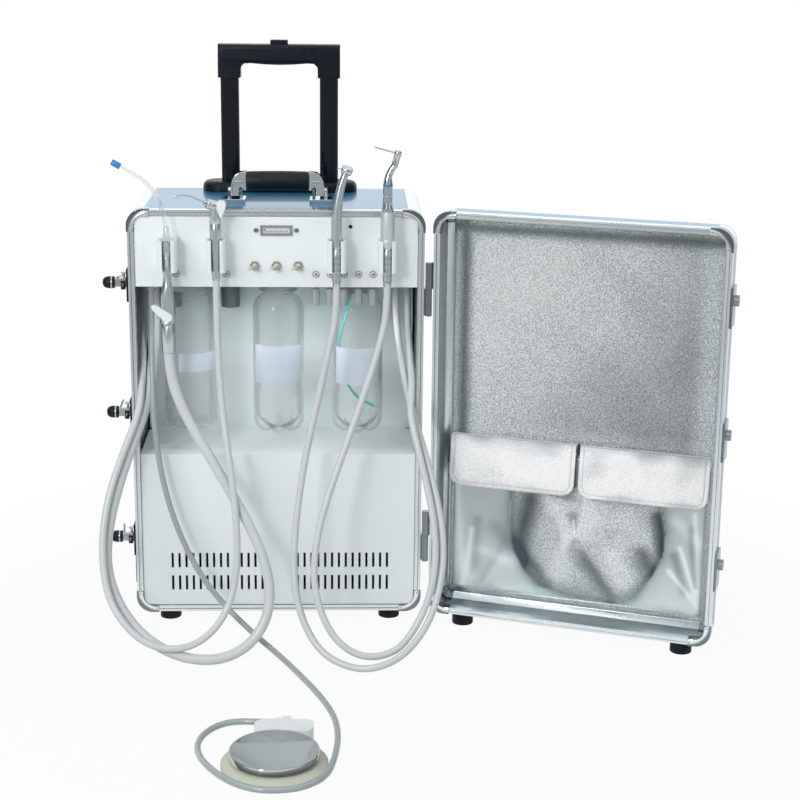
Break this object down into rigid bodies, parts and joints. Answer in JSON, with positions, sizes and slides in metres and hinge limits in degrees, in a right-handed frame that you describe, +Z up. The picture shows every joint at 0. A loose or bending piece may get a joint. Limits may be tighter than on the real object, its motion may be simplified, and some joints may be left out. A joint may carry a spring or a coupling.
{
  "type": "portable dental unit",
  "caption": "Upright wheeled case, opened on a side hinge, with an instrument panel, hanging handpieces and bottles, a vented compressor bay, a lined door and a foot pedal.",
  "frame": {"origin": "on the floor under the middle of the unit's outline, hoses left out", "axes": "+Z up, -Y towards the user who faces the opened case, +X to the user's right, where the door stands"},
  "size_m": [0.8443, 0.771, 0.808],
  "materials": {
    "case_panel": "metallic blue laminate",
    "extrusion": "satin",
    "corner": "polished",
    "foot": "matt",
    "white_sheet": "white powder coat",
    "compressor": "painted",
    "gauge": "grey bezel with a light window",
    "screw": "plated",
    "plating": "polished",
    "ivory": "gloss",
    "white_plastic": "satin",
    "white_gloss": "gloss",
    "steel": "satin",
    "clear_tube": "clear with a blue tip",
    "bottle": "clear plastic bottle",
    "cap": "satin",
    "fitting": "satin",
    "hose": "smooth light grey",
    "black_plastic": "satin",
    "black_tube": "black anodised",
    "black_grip": "soft",
    "latch": "plated, with a black knob",
    "lining": "silver embossed foam sheet",
    "pocket": "clear film over silver",
    "tyre": "matt",
    "pedal_cream": "satin, cream",
    "disc": "polished"
  },
  "bodies": {
    "case": {"case_panels": "case_panel", "case_extrusions": "extrusion", "case_corners": "corner", "case_feet": "foot", "control_panel": "white_sheet", "compressor_housing": "white_sheet", "bay_back_wall": "white_sheet", "compressor": "compressor", "pressure_gauge": "gauge", "panel_screws": "screw", "toggle_valves": "plating", "handpiece_holders": "white_plastic", "suction_valve": "plating", "saliva_ejector": "clear_tube", "syringe_body": "steel", "high_speed_handpiece": "steel", "low_speed_motor": "steel", "bottle_caps": "cap", "bay_fittings": "fitting", "suction_hose": "hose", "syringe_hose": "hose", "high_speed_hose": "hose", "low_speed_hose": "hose", "pedal_hose": "hose", "case_hinges": "steel", "latch_bases": "black_plastic", "carry_brackets": "plating", "trolley_bezel": "black_plastic", "wheel_housings": "black_plastic", "power_inlet": "black_plastic", "pedal_base": "pedal_cream"},
    "door": {"door_panels": "case_panel", "door_extrusions": "extrusion", "door_corners": "corner", "door_feet": "foot", "door_lining": "lining", "door_pocket": "pocket", "door_hardware": "steel"},
    "flap_left": {"pocket_flap_left": "white_gloss"},
    "flap_right": {"pocket_flap_right": "white_gloss"},
    "trolley": {"trolley_tubes": "black_tube", "trolley_grip": "black_plastic"},
    "trolley_button": {"trolley_button": "black_plastic"},
    "carry_handle": {"carry_handle": "black_grip"},
    "latch_1": {"latch_lever_1": "latch"},
    "latch_2": {"latch_lever_2": "latch"},
    "latch_3": {"latch_lever_3": "latch"},
    "toggle_1": {"toggle_lever_1": "ivory"},
    "toggle_2": {"toggle_lever_2": "ivory"},
    "toggle_3": {"toggle_lever_3": "ivory"},
    "suction_lever": {"suction_lever": "white_gloss"},
    "syringe_air": {"syringe_air_button": "white_gloss"},
    "syringe_water": {"syringe_water_button": "white_gloss"},
    "high_speed_bur": {"high_speed_bur": "steel"},
    "low_speed_bur": {"low_speed_bur": "steel"},
    "waste_jar": {"waste_jar": "bottle"},
    "air_bottle": {"air_bottle": "bottle"},
    "water_bottle": {"water_bottle": "bottle"},
    "wheels": {"rear_wheels": "tyre"},
    "pedal_disc": {"pedal_disc": "disc"}
  },
  "joints": [
    {"name": "door_hinge", "type": "hinge", "parent": "case", "child": "door", "pos_m": [0.02221, 0.11675, 0], "axis": [0, 0, 1], "range_deg": [-45, 20]},
    {"name": "flap_left_hinge", "type": "hinge", "parent": "door", "child": "flap_left", "pos_m": [0.05965, 0.14944, 0.274], "axis": [-0.9397, 0.342, 0], "range_deg": [0, 150]},
    {"name": "flap_right_hinge", "type": "hinge", "parent": "door", "child": "flap_right", "pos_m": [0.23349, 0.08617, 0.274], "axis": [-0.9397, 0.342, 0], "range_deg": [0, 150]},
    {"name": "trolley_slide", "type": "slide", "parent": "case", "child": "trolley", "axis": [0, 0, 1], "range_m": [-0.144, 0]},
    {"name": "trolley_button_press", "type": "slide", "parent": "trolley", "child": "trolley_button", "axis": [0, 0, -1], "range_m": [0, 0.004], "stiffness_N_per_m": 400},
    {"name": "carry_handle_fold", "type": "hinge", "parent": "case", "child": "carry_handle", "pos_m": [-0.18379, 0.19475, 0.61], "axis": [1, 0, 0], "range_deg": [-80, 80]},
    {"name": "latch_1_turn", "type": "hinge", "parent": "case", "child": "latch_1", "pos_m": [-0.39039, 0.12875, 0.495], "axis": [0, 0, 1], "range_deg": [-75, 30]},
    {"name": "latch_2_turn", "type": "hinge", "parent": "case", "child": "latch_2", "pos_m": [-0.39039, 0.12875, 0.313], "axis": [0, 0, 1], "range_deg": [-75, 30]},
    {"name": "latch_3_turn", "type": "hinge", "parent": "case", "child": "latch_3", "pos_m": [-0.39039, 0.12875, 0.131], "axis": [0, 0, 1], "range_deg": [-75, 30]},
    {"name": "toggle_1_turn", "type": "hinge", "parent": "case", "child": "toggle_1", "pos_m": [-0.21299, 0.11045, 0.5204], "axis": [0, 0, 1], "range_deg": [0, 50]},
    {"name": "toggle_2_turn", "type": "hinge", "parent": "case", "child": "toggle_2", "pos_m": [-0.18379, 0.11045, 0.5204], "axis": [0, 0, 1], "range_deg": [0, 50]},
    {"name": "toggle_3_turn", "type": "hinge", "parent": "case", "child": "toggle_3", "pos_m": [-0.15459, 0.11045, 0.5204], "axis": [0, 0, 1], "range_deg": [0, 50]},
    {"name": "suction_lever_turn", "type": "hinge", "parent": "case", "child": "suction_lever", "pos_m": [-0.32879, 0.08675, 0.456], "axis": [0, 1, 0], "range_deg": [-38, 52]},
    {"name": "syringe_air_press", "type": "slide", "parent": "case", "child": "syringe_air", "axis": [-1, 0, 0], "range_m": [0, 0.002], "stiffness_N_per_m": 300},
    {"name": "syringe_water_press", "type": "slide", "parent": "case", "child": "syringe_water", "axis": [-1, 0, 0], "range_m": [0, 0.002], "stiffness_N_per_m": 300},
    {"name": "high_speed_bur_spin", "type": "hinge", "parent": "case", "child": "high_speed_bur", "pos_m": [-0.08929, 0.09475, 0.653], "axis": [-0.9659, 0, 0.2588], "continuous": true},
    {"name": "low_speed_bur_spin", "type": "hinge", "parent": "case", "child": "low_speed_bur", "pos_m": [-0.022, 0.09475, 0.67587], "axis": [-0.9659, 0, 0.2588], "continuous": true},
    {"name": "waste_jar_unscrew", "type": "hinge", "parent": "case", "child": "waste_jar", "pos_m": [-0.30729, 0.17675, 0.3], "axis": [0, 0, 1], "range_deg": [0, 90]},
    {"name": "air_bottle_unscrew", "type": "hinge", "parent": "case", "child": "air_bottle", "pos_m": [-0.18379, 0.17675, 0.3], "axis": [0, 0, 1], "range_deg": [0, 90]},
    {"name": "water_bottle_unscrew", "type": "hinge", "parent": "case", "child": "water_bottle", "pos_m": [-0.07349, 0.17675, 0.3], "axis": [0, 0, 1], "range_deg": [0, 90]},
    {"name": "wheels_spin", "type": "hinge", "parent": "case", "child": "wheels", "pos_m": [-0.18379, 0.35975, 0.022], "axis": [1, 0, 0], "continuous": true},
    {"name": "pedal_press", "type": "slide", "parent": "case", "child": "pedal_disc", "axis": [0, 0, -1], "range_m": [0, 0.003], "stiffness_N_per_m": 3000}
  ]
}
